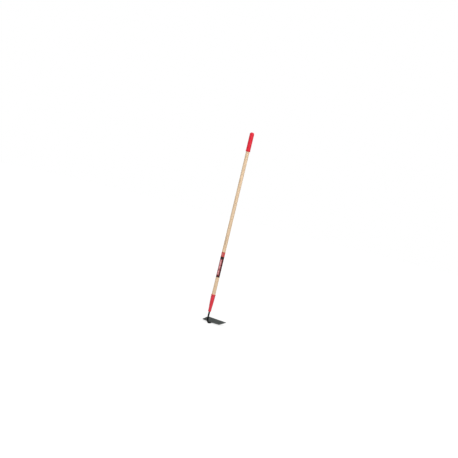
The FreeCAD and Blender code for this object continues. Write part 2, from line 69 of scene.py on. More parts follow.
WOOD_R = WOOD[1].x
LABEL_R = LABEL[1].x
NECK_R = -NECK[0].x
HANDLE_TOP_R = 13.5 * MM
BARREL_TOP = FERRULE[1].z + 360 * MM
TAPER_TOP = BARREL_TOP + 420 * MM
HANDLE_EDGE = 1.5 * MM
FIT, GRIP_FIT = 0.1 * MM, 0.05 * MM  # radial gaps round the wood and the neck, and inside the grip
SEAT_R = 11.06 * MM
BORE_R, BORE_TOP = NECK_R + FIT, WOOD[0].z + 122 * MM

FERRULE_WALL = 1.5 * MM
FERRULE_R = WOOD_R + FERRULE_WALL + FIT
STRAIGHT_Z = FERRULE[1].z - 36 * MM
WAIST_Z, WAIST_R = FERRULE[1].z - 84 * MM, 13.9 * MM
THROAT_Z, THROAT_R = FERRULE[1].z - 104 * MM, 12 * MM
COLLAR_R, COLLAR_ROUND, LIP = 11.7 * MM, 2.5 * MM, 2.4 * MM
RIM_HEIGHT, RIM_ROLL = 7 * MM, 3.1 * MM
MOUTH_FLARE, MOUTH_DEPTH = 0.5 * MM, 1.2 * MM
SOFT_TAPER = 7 * MM  # how far each turn of the ferrule's wall is eased

GRIP_BEAD_R = GRIP[1].x
GRIP_R = GRIP_BEAD_R - 1 * MM
GRIP_DOME = 14 * MM
GRIP_BEAD, BEAD_ROUND, BEAD_EASE = 7 * MM, 1 * MM, 0.6 * MM

TANG_POINT = 3.5 * MM
BEND_R = 39 * MM
BEND_LOW = FERRULE[0].z - 91.4 * MM
BLADE_ANGLE = math.radians(81)
BEND_SWEEP = math.pi - BLADE_ANGLE
DRAWN_SWEEP = math.radians(38)
LIFT = math.pi / 2 - BLADE_ANGLE
FOOT_LENGTH, FOOT_HALF_WIDTH, FOOT_HALF_THICK = 34 * MM, 10 * MM, 3 * MM
FOOT_TOE, TOE_NARROWS, TOE_THINS = 7 * MM, 4 * MM, 0.22
ROUND, OBLONG = 2.0, 5.0  # squareness of a bar's section
BEND_STEPS, TOE_STEPS = 44, 12
BLADE_SETBACK = 4 * MM
BLADE_DEPTH, BLADE_WIDTH, BACK_WIDTH = 102 * MM, 174 * MM, 159 * MM
CROWN_WIDTH, SHOULDER_DROP, PLATE = 46 * MM, 7 * MM, 2.5 * MM
# How far each corner's rounding reaches along its edges, and the easing of every sharp edge.
CROWN_ROUND, SHOULDER_ROUND, TIP_ROUND, ARRIS = 1.0 * MM, 7.3 * MM, 2.7 * MM, 0.22 * MM
BEVEL_LENGTH, BEVEL_RISE = 9 * MM, 1.9 * MM
WELD_LEG, BACK_WELD_LEG, WELD_RIPPLE = 4.0 * MM, 2.2 * MM, 1.7 * MM
WELD_START, WELD_STOP, WELD_SHORT = 2 * MM, 4 * MM, 5 * MM  # how far each bead stops from a corner

ALONG = Vector((math.cos(LIFT), 0, math.sin(LIFT)))  # in the blade, from its back to its edge
OUT = Vector((math.sin(LIFT), 0, -math.cos(LIFT)))  # off the blade's outer face
BEND_CENTRE = Vector((BEND_R, 0, BEND_LOW + BEND_R))
BEND_END = BEND_CENTRE + BEND_R * OUT
BLADE_ORIGIN = BEND_END + BLADE_SETBACK * ALONG - FOOT_HALF_THICK * OUT


# ---------------------------------------------------------------- modelling helpers
def start_object(name):
    """Names the new primitive and opens it for editing, all selected."""
    piece = bpy.context.object
    piece.name = piece.data.name = name
    bpy.ops.object.mode_set(mode="EDIT")
    bpy.ops.mesh.select_all(action="SELECT")
    return piece


def finish_object(piece, angle=35):
    """Closes editing, puts the piece's place in its mesh, turns faces outwards and smooths it."""
    bpy.ops.object.mode_set(mode="EDIT")
    bpy.ops.mesh.select_all(action="SELECT")
    bpy.ops.mesh.remove_doubles(threshold=0.001 * MM)
    bpy.ops.mesh.normals_make_consistent(inside=False)
    bpy.ops.object.mode_set(mode="OBJECT")
    bpy.ops.object.select_all(action="DESELECT")
    piece.select_set(True)
    bpy.context.view_layer.objects.active = piece
    bpy.ops.object.transform_apply(location=True, rotation=True, scale=True)
    bpy.ops.object.shade_smooth_by_angle(angle=math.radians(angle))
    return piece


def turned(name, rings, around=96, tube=False):
    """A piece turned about the handle's axis through rings of (radius, height).

    A tube's last ring meets its first.
    """
    bpy.ops.object.select_all(action="DESELECT")
    radius, height = rings[0]
    fill = "NOTHING" if tube else "NGON"
    bpy.ops.mesh.primitive_circle_add(vertices=around, radius=radius, fill_type=fill, location=(0, 0, height))
    bpy.ops.object.transform_apply(location=True)
    piece = start_object(name)
    for next_radius, next_height in rings[1:] + (rings[:1] if tube else []):
        shift = {"value": (0, 0, next_height - height)}
        if tube:
            bpy.ops.mesh.extrude_edges_move(TRANSFORM_OT_translate=shift)
        else:
            bpy.ops.mesh.extrude_region_move(TRANSFORM_OT_translate=shift)
        grow = next_radius / radius
        bpy.ops.transform.resize(value=(grow, grow, 1), center_override=(0, 0, next_height))
        radius, height = next_radius, next_height
    return finish_object(piece)


def quarter(radius, height, round_r, start, end, steps):
    """Rings round a quarter turn whose centre is (radius, height), between two angles in degrees."""
    turns = [math.radians(start + (end - start) * i / steps) for i in range(steps + 1)]
    return [(radius + round_r * math.cos(t), height + round_r * math.sin(t)) for t in turns]


def eased(rings, reach, steps=5):
    """The same profile with each inner corner replaced by a short curve, so that long walls stay straight."""
    points = [Vector(ring) for ring in rings]
    result = [rings[0]]
    for before, corner, after in zip(points, points[1:], points[2:]):
        back, ahead = before - corner, after - corner
        near = min(reach, back.length * 0.45, ahead.length * 0.45)
        start, end = corner + back.normalized() * near, corner + ahead.normalized() * near
        for i in range(steps + 1):
            t = i / steps
            point = start * (1 - t) ** 2 + corner * 2 * t * (1 - t) + end * t ** 2
            result.append((point.x, point.y))
    return result + [rings[-1]]


def swept(name, stations, around=48):
    """A closed bar through stations of (centre, side, up, half side, half up, squareness)."""
    mesh = bmesh.new()
    loops = []
    for centre, side, up, half_side, half_up, square in stations:
        loop = []
        for i in range(around):
            turn = 2 * math.pi * i / around
            c, s = math.cos(turn), math.sin(turn)
            x = math.copysign(abs(c) ** (2 / square), c) * half_side
            y = math.copysign(abs(s) ** (2 / square), s) * half_up
            loop.append(mesh.verts.new(centre + side * x + up * y))
        loops.append(loop)
    for low, high in zip(loops, loops[1:]):
        for i in range(around):
            j = (i + 1) % around
            mesh.faces.new((low[i], low[j], high[j], high[i]))
    mesh.faces.new(list(reversed(loops[0])))
    mesh.faces.new(loops[-1])
    data = bpy.data.meshes.new(name)
    mesh.to_mesh(data)
    mesh.free()
    piece = bpy.data.objects.new(name, data)
    bpy.context.collection.objects.link(piece)
    bpy.ops.object.select_all(action="DESELECT")
    piece.select_set(True)
    bpy.context.view_layer.objects.active = piece
    return finish_object(piece, angle=40)


def select_where(piece, test):
    """Selects the vertices that pass a test on their place."""
    bpy.ops.mesh.select_mode(type="VERT")
    bpy.ops.mesh.select_all(action="DESELECT")
    mesh = bmesh.from_edit_mesh(piece.data)
    for vertex in mesh.verts:
        if test(vertex.co):
            vertex.select_set(True)
    mesh.select_flush_mode()
    bmesh.update_edit_mesh(piece.data)


def belongs(piece, material, slot, *nodes):
    """Gives a piece its material, hangs it under the root body and hides the CAD nodes that it stands for.
    The slot argument is not used.
    """
    piece.data.materials.clear()
    piece.data.materials.append(material)
    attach(piece, "root")
    if nodes:
        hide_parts(*nodes)


# ---------------------------------------------------------------- shader helpers
def new_material(name):
    material = bpy.data.materials.new(name)
    material.use_nodes = True
    tree = material.node_tree
    shader = next(node for node in tree.nodes if node.type == "BSDF_PRINCIPLED")
    return material, tree, shader


def add(tree, kind, **settings):
    node = tree.nodes.new(kind)
    for key, value in settings.items():
        setattr(node, key, value)
    return node


def wire(tree, value, socket):
    """Links an output, or sets a constant on the socket itself."""
    if isinstance(value, bpy.types.NodeSocket):
        tree.links.new(value, socket)
    else:
        socket.default_value = value


def maths(tree, operation, first, second=0.0, third=0.0):
    node = add(tree, "ShaderNodeMath", operation=operation)
    for socket, value in zip(node.inputs, (first, second, third)):
        wire(tree, value, socket)
    return node.outputs[0]


def times(tree, first, second):
    return maths(tree, "MULTIPLY", first, second)


def plus(tree, first, second):
    return maths(tree, "ADD", first, second)


def minus(tree, first, second):
    return maths(tree, "SUBTRACT", first, second)


def along(tree, vector, way):
    """How far a vector reaches along a direction."""
    node = add(tree, "ShaderNodeVectorMath", operation="DOT_PRODUCT")
    wire(tree, vector, node.inputs[0])
    wire(tree, way, node.inputs[1])
    return node.outputs["Value"]


def ramp(tree, value, low, high, to_low=0.0, to_high=1.0):
    """Smoothly maps low..high to to_low..to_high."""
    node = add(tree, "ShaderNodeMapRange", interpolation_type="SMOOTHSTEP")
    for socket, each in zip(node.inputs, (value, low, high, to_low, to_high)):
        wire(tree, each, socket)
    return node.outputs[0]


def blend(tree, share, first, second):
    """A colour mix; share 0 gives the first."""
    node = add(tree, "ShaderNodeMix", data_type="RGBA")
    wire(tree, share, node.inputs[0])
    wire(tree, first, node.inputs[6])
    wire(tree, second, node.inputs[7])
    return node.outputs[2]


def noise(tree, place, scale, stretch=(1, 1, 1), detail=3.0, rough=0.5):
    """Noise with features 1/scale metres across, stretched along an axis where stretch is small."""
    move = add(tree, "ShaderNodeMapping")
    wire(tree, place, move.inputs["Vector"])
    move.inputs["Scale"].default_value = [scale * each for each in stretch]
    node = add(tree, "ShaderNodeTexNoise")
    wire(tree, move.outputs[0], node.inputs["Vector"])
    node.inputs["Scale"].default_value = 1.0
    node.inputs["Detail"].default_value = detail
    node.inputs["Roughness"].default_value = rough
    return node.outputs[0]


def bump(tree, height, depth, normal=None):
    """A bump whose height of 1 stands depth metres proud."""
    node = add(tree, "ShaderNodeBump")
    wire(tree, height, node.inputs["Height"])
    node.inputs["Strength"].default_value = 1.0
    node.inputs["Distance"].default_value = depth
    if normal is not None:
        wire(tree, normal, node.inputs["Normal"])
    return node.outputs[0]


def place_of(tree):
    return add(tree, "ShaderNodeTexCoord").outputs["Object"]


def parts_of(tree, place):
    node = add(tree, "ShaderNodeSeparateXYZ")
    wire(tree, place, node.inputs[0])
    return node.outputs


def round_the_handle(tree, place):
    """The angle round the handle's axis, in radians from +X."""
    x, y, _ = parts_of(tree, place)
    return maths(tree, "ARCTAN2", y, x)


def between(tree, value, low, high, edge):
    """1 inside low..high, fading over edge at both ends."""
    rise = ramp(tree, value, low, low + edge)
    fall = ramp(tree, value, high - edge, high, 1.0, 0.0)
    return times(tree, rise, fall)


def new_group(name, inputs, outputs):
    """An empty shader group; inputs are (name, kind, default) and outputs are (name, kind)."""
    group = bpy.data.node_groups.new(name, "ShaderNodeTree")
    for label, kind, default in inputs:
        socket = group.interface.new_socket(label, in_out="INPUT", socket_type=kind)
        if default is not None:
            socket.default_value = default
    for label, kind in outputs:
        group.interface.new_socket(label, in_out="OUTPUT", socket_type=kind)
    return group, group.nodes.new("NodeGroupInput"), group.nodes.new("NodeGroupOutput")


def use_group(tree, group, **values):
    node = add(tree, "ShaderNodeGroup", node_tree=group)
    for name, value in values.items():
        wire(tree, value, node.inputs[name])
    return node


def edge_wear_group():
    """A mask of worn edges: where the surface turns within a small radius, broken up by noise."""
    inputs = (
        ("Radius", "NodeSocketFloat", MM),
        ("Amount", "NodeSocketFloat", 0.5),
        ("Place", "NodeSocketVector", None),
    )
    group, given, result = new_group("edge_wear", inputs, (("Mask", "NodeSocketFloat"),))
    rounded = add(group, "ShaderNodeBevel", samples=4)
    wire(group, given.outputs["Radius"], rounded.inputs["Radius"])
    flat = add(group, "ShaderNodeNewGeometry").outputs["True Normal"]
    turn = minus(group, 1.0, along(group, rounded.outputs[0], flat))
    patches = noise(group, given.outputs["Place"], 420, detail=4)
    raised = times(group, turn, ramp(group, patches, 0.35, 0.7))
    wide = times(group, raised, given.outputs["Amount"])
    wire(group, ramp(group, wide, 0.02, 0.09), result.inputs["Mask"])
    return group


def smudge_group():
    """Handling marks from 0 to 1: broad soft patches as Value, and fine specks as Dust."""
    inputs = (("Place", "NodeSocketVector", None),)
    outputs = (("Value", "NodeSocketFloat"), ("Dust", "NodeSocketFloat"))
    group, given, result = new_group("smudges", inputs, outputs)
    place = given.outputs["Place"]
    patches = noise(group, place, 34, (1, 1, 0.5), detail=2)
    specks = noise(group, place, 900, detail=2)
    wire(group, ramp(group, patches, 0.3, 0.75), result.inputs["Value"])
    wire(group, ramp(group, specks, 0.62, 0.75), result.inputs["Dust"])
    return group


EDGE_WEAR = edge_wear_group()
SMUDGES = smudge_group()
STEEL = (0.42, 0.42, 0.43, 1)


def handled(tree, marks, clean, rubbed):
    """Roughness, from clean to rubbed by hands."""
    return ramp(tree, marks.outputs["Value"], 0.0, 1.0, clean, rubbed)


def dress(tree, shader, **sockets):
    """Links or sets the shader's own sockets; an underscore stands for a space."""
    for name, value in sockets.items():
        wire(tree, value, shader.inputs[name.replace("_", " ")])


# ---------------------------------------------------------------- materials
PRINT_LOW, PRINT_HIGH = FERRULE[1].z + 400 * MM, FERRULE[1].z + 470 * MM
PRINT_ANGLE, PRINT_HALF_WIDTH = math.radians(-166), 4 * MM
TICK_STEP, TICK_LANE = 5.5 * MM, 2.7 * MM
RING_SPACING = 2.6 * MM


def stamped_ticks(tree, place):
    """Ink mask of a generic stamped code on the wood: rows of short ticks, with no letters."""
    z = parts_of(tree, place)[2]
    angle = minus(tree, round_the_handle(tree, place), PRINT_ANGLE)
    across = times(tree, maths(tree, "ABSOLUTE", angle), WOOD_R)
    sides = ramp(tree, across, PRINT_HALF_WIDTH - 0.3 * MM, PRINT_HALF_WIDTH, 1.0, 0.0)
    inside = times(tree, sides, between(tree, z, PRINT_LOW, PRINT_HIGH, 0.4 * MM))
    step = maths(tree, "FRACT", maths(tree, "DIVIDE", z, TICK_STEP))
    ticks = times(tree, ramp(tree, step, 0.2, 0.26), ramp(tree, step, 0.62, 0.68, 1.0, 0.0))
    lanes = maths(tree, "FRACT", maths(tree, "DIVIDE", across, TICK_LANE))
    ticks = times(tree, ticks, ramp(tree, lanes, 0.16, 0.24))
    starved = ramp(tree, noise(tree, place, 1900, (1, 1, 0.4), 2), 0.32, 0.5)
    return times(tree, times(tree, inside, ticks), starved)


def growth_ring(tree, place):
    """Where a point lies in its year's ring, from 0 to 1.

    The tree's heart lies off to one side, so that rings run along the handle and close in long arches.
    """
    x, y, z = parts_of(tree, place)
    wander = times(tree, minus(tree, noise(tree, place, 18, (1, 1, 0.12), 2), 0.5), 9 * MM)
    from_x = plus(tree, maths(tree, "MULTIPLY_ADD", z, 0.012, x), plus(tree, wander, 34 * MM))
    from_y = plus(tree, maths(tree, "MULTIPLY_ADD", z, -0.006, y), 11 * MM)
    squares = plus(tree, maths(tree, "POWER", from_x, 2.0), maths(tree, "POWER", from_y, 2.0))
    return maths(tree, "FRACT", maths(tree, "DIVIDE", maths(tree, "SQRT", squares), RING_SPACING))


def ash_wood():
    """Pale lacquered ash: growth rings cut lengthwise, dark pores, fibres and stamped rows of ticks."""
    pale, tan, late, grain, pore = (
        (0.91, 0.695, 0.475, 1), (0.855, 0.615, 0.39, 1), (0.52, 0.32, 0.155, 1),
        (0.46, 0.29, 0.15, 1), (0.27, 0.15, 0.07, 1),
    )
    ink = (0.05, 0.045, 0.05, 1)
    material, tree, shader = new_material("lacquered_ash")
    place = place_of(tree)
    ring = growth_ring(tree, place)
    late_wood = times(tree, ramp(tree, ring, 0.35, 0.92), ramp(tree, ring, 0.93, 1.0, 1.0, 0.0))
    fibre = noise(tree, place, 1400, (1, 1, 0.018), 3, 0.6)
    pores = ramp(tree, noise(tree, place, 2300, (1, 1, 0.035), 1, 0.5), 0.66, 0.74)
    pores = times(tree, pores, ramp(tree, ring, 0.0, 0.45, 1.0, 0.25))
    base = blend(tree, noise(tree, place, 7, (1, 1, 0.35), 2), pale, tan)
    base = blend(tree, times(tree, late_wood, 0.42), base, late)
    base = blend(tree, times(tree, fibre, 0.22), base, grain)
    base = blend(tree, times(tree, pores, 0.5), base, pore)
    base = blend(tree, times(tree, stamped_ticks(tree, place), 0.85), base, ink)
    marks = use_group(tree, SMUDGES, Place=place)
    relief = minus(tree, times(tree, fibre, 0.35), pores)
    dress(tree, shader, Base_Color=base, Roughness=handled(tree, marks, 0.34, 0.46),
          Coat_Weight=0.25, Coat_Roughness=0.22, Normal=bump(tree, relief, 0.05 * MM))
    return material


def red_vinyl():
    """Soft dipped vinyl: deep red, fine pebble, dulled where hands rub."""
    bright, deep, dust = (0.80, 0.012, 0.036, 1), (0.70, 0.009, 0.028, 1), (0.75, 0.45, 0.42, 1)
    material, tree, shader = new_material("red_vinyl")
    place = place_of(tree)
    marks = use_group(tree, SMUDGES, Place=place)
    tone = blend(tree, noise(tree, place, 55, (1, 1, 0.4), 2), bright, deep)
    dusty = blend(tree, times(tree, marks.outputs["Dust"], 0.09), tone, dust)
    pebble = noise(tree, place, 1500, detail=2)
    ripple = times(tree, noise(tree, place, 160, detail=2), 1.6)
    dress(tree, shader, Base_Color=dusty, Roughness=handled(tree, marks, 0.34, 0.5),
          Specular_IOR_Level=0.3, Sheen_Weight=0.03, Subsurface_Weight=0.05, Subsurface_Scale=1.5 * MM,
          Subsurface_Radius=(1.0, 0.15, 0.1), Normal=bump(tree, plus(tree, pebble, ripple), 0.06 * MM))
    return material


LABEL_FACING = math.radians(-172)
LAP_ANGLE, LAP_HALF, LAP_STEP = math.radians(20), math.radians(15), 0.09 * MM


def label_places(tree, place):
    """Height up the label from 0 to 1, and millimetres round it from the middle of its front."""
    low, high = LABEL[0].z, LABEL[1].z
    height = maths(tree, "DIVIDE", minus(tree, parts_of(tree, place)[2], low), high - low)
    turn = minus(tree, round_the_handle(tree, place), LABEL_FACING)
    turn = maths(tree, "WRAP", turn, math.pi, -math.pi)
    return height, times(tree, turn, LABEL_R / MM)


def broken_stripe(tree, height, across):
    """Mask of blocks of uneven length up the panel, which stand where its printing would be."""
    uneven = times(tree, maths(tree, "SINE", times(tree, height, 37.0)), 0.22)
    block = maths(tree, "FRACT", plus(tree, times(tree, height, 11.0), uneven))
    gap = times(tree, ramp(tree, block, 0.05, 0.08), ramp(tree, block, 0.86, 0.89, 1.0, 0.0))
    slit = between(tree, height, 0.305, 0.325, 0.004)
    stripe = times(tree, between(tree, height, 0.075, 0.70, 0.006), between(tree, across, -6.5, 6.5, 0.25))
    return times(tree, times(tree, stripe, minus(tree, 1.0, slit)), gap)


def printed_label():
    """A generic wrap: a red block, a dark band, and a dark panel with a broken pale stripe. No letters. The
    panel turns from maroon to black round one side, which is painted shade.
    """
    maroon, black, red = (0.17, 0.010, 0.012, 1), (0.022, 0.005, 0.006, 1), (0.62, 0.06, 0.055, 1)
    pink, faded, scuffed = (0.80, 0.34, 0.35, 1), (0.68, 0.3, 0.26, 1), (0.5, 0.42, 0.4, 1)
    material, tree, shader = new_material("printed_label")
    place = place_of(tree)
    height, across = label_places(tree, place)
    patch = times(tree, between(tree, height, 0.85, 0.96, 0.004), between(tree, across, -7.0, 5.0, 0.25))
    ends = ramp(tree, maths(tree, "ABSOLUTE", minus(tree, height, 0.5)), 0.492, 0.496)
    scuff = ramp(tree, noise(tree, place, 700, (1, 1, 0.2), 3), 0.68, 0.76)
    # Painted shade: the dark panel goes from maroon to black round one side, from 8 to 22 mm across, so shade
    # is painted into the print.
    colour = blend(tree, ramp(tree, across, 8.0, 22.0), maroon, black)
    for share, ink in (
        (ramp(tree, height, 0.045, 0.05, 1.0, 0.0), black),
        (broken_stripe(tree, height, across), pink),
        (ramp(tree, height, 0.715, 0.72), black),
        (ramp(tree, height, 0.815, 0.82), red),
        (times(tree, patch, 0.45), faded),
        (ends, black),
        (times(tree, scuff, 0.12), scuffed),
    ):
        colour = blend(tree, share, colour, ink)
    marks = use_group(tree, SMUDGES, Place=place)
    wrinkle = noise(tree, place, 120, (1, 1, 0.3), 2)
    dress(tree, shader, Base_Color=colour, Roughness=handled(tree, marks, 0.3, 0.42),
          Coat_Weight=0.2, Coat_Roughness=0.18, Normal=bump(tree, wrinkle, 0.1 * MM))
    return material


def enamel(name, colour, deep, roughness, wear, shine=0.5, coat=0.35, peel=0.03 * MM, dents=0.0):
    """Sprayed gloss enamel with a little orange peel, smudges, and bare steel where edges are worn."""
    material, tree, shader = new_material(name)
    place = place_of(tree)
    marks = use_group(tree, SMUDGES, Place=place)
    worn = use_group(tree, EDGE_WEAR, Radius=0.7 * MM, Amount=wear, Place=place).outputs["Mask"]
    tone = blend(tree, noise(tree, place, 40, detail=2), colour, deep)
    sprayed = handled(tree, marks, roughness, roughness + 0.12)
    beaten = bump(tree, noise(tree, place, 85, detail=1), dents)
    dress(tree, shader, Base_Color=blend(tree, worn, tone, STEEL), Metallic=worn,
          Roughness=maths(tree, "MAXIMUM", sprayed, times(tree, worn, 0.45)), Specular_IOR_Level=shine,
          Coat_Weight=times(tree, minus(tree, 1.0, worn), coat), Coat_Roughness=0.08,
          Normal=bump(tree, noise(tree, place, 520, detail=1), peel, beaten))
    return material


def ground_bevel(tree, place):
    """Mask of the bevel ground along the cutting edge, on the outer face only, with a ragged upper line."""
    offset = add(tree, "ShaderNodeVectorMath", operation="SUBTRACT")
    wire(tree, place, offset.inputs[0])
    wire(tree, BLADE_ORIGIN, offset.inputs[1])
    ragged = times(tree, noise(tree, place, 260, detail=3), 1.2 * MM)
    past = minus(tree, along(tree, offset.outputs[0], ALONG), ragged)
    start = BLADE_DEPTH - BEVEL_LENGTH
    facing = along(tree, add(tree, "ShaderNodeNewGeometry").outputs["Normal"], OUT)
    return times(tree, ramp(tree, past, start - 0.7 * MM, start - 0.4 * MM), ramp(tree, facing, 0.3, 0.5))


def blade_paint():
    """Dark satin paint over rolled plate, with the ground bevel left bright."""
    paint_light, paint_deep = (0.078, 0.089, 0.085, 1), (0.058, 0.068, 0.065, 1)
    scraped, streak = (0.125, 0.13, 0.125, 1), (0.085, 0.092, 0.088, 1)
    steel_light, steel_deep = (0.78, 0.78, 0.79, 1), (0.55, 0.55, 0.56, 1)
    material, tree, shader = new_material("blade_paint")
    place = place_of(tree)
    worn = use_group(tree, EDGE_WEAR, Radius=0.9 * MM, Amount=1.1, Place=place).outputs["Mask"]
    bare = maths(tree, "MAXIMUM", ground_bevel(tree, place), worn)
    rolled = noise(tree, place, 420, (0.05, 1, 0.05), 3, 0.6)
    scrape = ramp(tree, noise(tree, place, 75, (0.12, 3.0, 0.12), 4, 0.7), 0.60, 0.70)
    paint = blend(tree, noise(tree, place, 26, detail=3), paint_light, paint_deep)
    paint = blend(tree, times(tree, scrape, 0.35), paint, scraped)
    paint = blend(tree, times(tree, rolled, 0.3), paint, streak)
    scratch = noise(tree, place, 1600, (1, 0.03, 1), 2)
    steel = blend(tree, scratch, steel_light, steel_deep)
    satin = handled(tree, use_group(tree, SMUDGES, Place=place), 0.42, 0.56)
    relief = plus(tree, times(tree, rolled, 0.5), times(tree, scratch, bare))
    dress(tree, shader, Base_Color=blend(tree, bare, paint, steel), Metallic=bare,
          Roughness=minus(tree, satin, times(tree, bare, 0.12)), Normal=bump(tree, relief, 0.03 * MM))
    return material


def rivet_zinc():
    """Dulled zinc with hammer flats."""
    bright, dull = (0.78, 0.78, 0.79, 1), (0.55, 0.55, 0.57, 1)
    material, tree, shader = new_material("rivet_zinc")
    place = place_of(tree)
    marks = use_group(tree, SMUDGES, Place=place)
    flats = noise(tree, place, 350, detail=2)
    dress(tree, shader, Base_Color=blend(tree, noise(tree, place, 700, detail=3), bright, dull), Metallic=1.0,
          Roughness=handled(tree, marks, 0.3, 0.5), Normal=bump(tree, flats, 0.08 * MM))
    return material


# ---------------------------------------------------------------- pieces
def wooden_handle():
    """Solid turned handle with its tapered seat, its tang bore and a chamfered top."""
    waist_seat = (WAIST_R - FERRULE_WALL - FIT, WAIST_Z)
    rings = [
        (BORE_R, BORE_TOP), (BORE_R, WOOD[0].z), (SEAT_R, WOOD[0].z), waist_seat,
        (WOOD_R, STRAIGHT_Z), (WOOD_R, FERRULE[1].z), (WOOD_R, BARREL_TOP), (HANDLE_TOP_R, TAPER_TOP),
        (HANDLE_TOP_R, WOOD[1].z - HANDLE_EDGE), (HANDLE_TOP_R - HANDLE_EDGE, WOOD[1].z),
    ]
    return turned("wood_handle", rings)


def hand_grip():
    """Dipped grip: a closed dome above, a hollow below, and a rounded bead at its mouth."""
    low, top, inner = GRIP[0].z, GRIP[1].z, HANDLE_TOP_R + GRIP_FIT
    bead_middle = GRIP_BEAD_R - BEAD_ROUND
    bead = quarter(bead_middle, low + BEAD_ROUND, BEAD_ROUND, -90, 0, 5)
    shoulder = quarter(bead_middle, low + GRIP_BEAD - BEAD_ROUND, BEAD_ROUND, 0, 90, 5)
    side = [(GRIP_R, low + GRIP_BEAD + BEAD_EASE)]
    dome = quarter(GRIP_R - GRIP_DOME, top - GRIP_DOME, GRIP_DOME, 0, 90, 14)
    return turned("red_grip", [(inner, WOOD[1].z), (inner, low)] + bead + shoulder + side + dome)


def label_film():
    """Thin sleeve of film whose last few millimetres lap over its first."""
    low, high = LABEL[0].z, LABEL[1].z
    thin = 0.14 * MM

    def in_lap(point):
        outside = point.xy.length > WOOD_R + thin / 2
        return outside and abs(math.atan2(point.y, point.x) - LAP_ANGLE) < LAP_HALF

    rings = [(WOOD_R, low), (WOOD_R + thin, low), (WOOD_R + thin, high), (WOOD_R, high)]
    piece = turned("label_film", rings, tube=True)
    bpy.ops.object.mode_set(mode="EDIT")
    select_where(piece, in_lap)
    grow = 1 + LAP_STEP / WOOD_R
    bpy.ops.transform.resize(value=(grow, grow, 1), center_override=(0, 0, 0))
    return finish_object(piece)


def steel_ferrule():
    """Pressed ferrule with a rolled rim, two tapers and its end turned in to the neck."""
    top, low, rim_r = FERRULE[1].z, FERRULE[0].z, FERRULE[1].x
    inner, roll_r = FERRULE_R - FERRULE_WALL, rim_r - RIM_ROLL
    rim = quarter(roll_r, top - RIM_ROLL, RIM_ROLL, 100, 0, 8)
    rim += quarter(roll_r, top - RIM_HEIGHT + RIM_ROLL, RIM_ROLL, 0, -66, 7)
    foot = quarter(COLLAR_R - COLLAR_ROUND, low + COLLAR_ROUND, COLLAR_ROUND, 0, -90, 7)
    wall = [(FERRULE_R, STRAIGHT_Z), (WAIST_R, WAIST_Z), (THROAT_R, THROAT_Z)]
    under_rim = (FERRULE_R, top - RIM_HEIGHT - 0.1 * MM)
    outside = eased([under_rim] + wall + foot[:1], SOFT_TAPER)
    inside = [(radius - FERRULE_WALL, height) for radius, height in reversed(wall)]
    lining = eased(inside + [(inner, top - MOUTH_DEPTH)], SOFT_TAPER)
    hole = NECK_R + FIT
    rings = [(inner + MOUTH_FLARE, top)] + rim + outside + foot[1:]
    rings += [(hole, low), (hole, low + LIP), (COLLAR_R - FERRULE_WALL, low + LIP)] + lining
    return turned("ferrule_shell", rings, tube=True)


def through_rivet():
    """Rivet with a domed head each side, turned upright and then laid along Y."""
    reach, stem, head, rounding, flat = RIVET[1].y, 2.5 * MM, 5.0 * MM, 2.0 * MM, 0.6 * MM
    seat = FERRULE_R * 0.955  # the head's flat side lies a little inside the round ferrule
    crown = quarter(head - rounding, reach - rounding, rounding, 0, 84, 6)
    half = [(stem, seat), (head, seat)] + crown + [(flat, reach)]
    rings = [(r, -h) for r, h in reversed(half)] + half
    piece = turned("ferrule_rivet_pin", rings, around=40)
    bpy.ops.object.mode_set(mode="EDIT")
    bpy.ops.mesh.select_all(action="SELECT")
    bpy.ops.transform.rotate(value=math.pi / 2, orient_axis="X", center_override=(0, 0, 0))
    bpy.ops.transform.translate(value=(0, 0, (RIVET[0].z + RIVET[1].z) / 2))
    bpy.ops.object.mode_set(mode="OBJECT")
    return piece


def at_bend(turn):
    """The bar's centre after a turn round the bend, and the direction away from the bend's middle."""
    out = Vector((-math.cos(turn), 0, -math.sin(turn)))
    return BEND_CENTRE + BEND_R * out, out


def neck_bar():
    """One bar: pointed tang, straight neck, long bend, drawn flat into a foot with a rounded toe."""
    side, back = Vector((0, 1, 0)), Vector((-1, 0, 0))
    tang_top, tang_shoulder = NECK[1].z, NECK[1].z - TANG_POINT
    stations = []
    for radius, height in ((NECK_R - TANG_POINT, tang_top), (NECK_R, tang_shoulder), (NECK_R, FERRULE[0].z)):
        stations.append((Vector((0, 0, height)), side, back, radius, radius, ROUND))
    for i in range(BEND_STEPS + 1):
        turn = BEND_SWEEP * i / BEND_STEPS
        share = max(0.0, (turn - (BEND_SWEEP - DRAWN_SWEEP)) / DRAWN_SWEEP)
        smooth = share * share * (3 - 2 * share)
        centre, out = at_bend(turn)
        wide = NECK_R + (FOOT_HALF_WIDTH - NECK_R) * smooth
        thick = NECK_R + (FOOT_HALF_THICK - NECK_R) * smooth
        stations.append((centre, side, out, wide, thick, ROUND + (OBLONG - ROUND) * smooth))
    for i in range(1, TOE_STEPS + 1):
        turn = math.pi / 2 * i / TOE_STEPS
        past = FOOT_LENGTH - FOOT_TOE + FOOT_TOE * math.sin(turn)
        wide = FOOT_HALF_WIDTH - TOE_NARROWS * (1 - math.cos(turn))
        thick = FOOT_HALF_THICK * (1 - TOE_THINS * (1 - math.cos(turn)))
        stations.append((BEND_END + ALONG * past, side, OUT, wide, thick, OBLONG))
    return swept("neck_bar", stations)


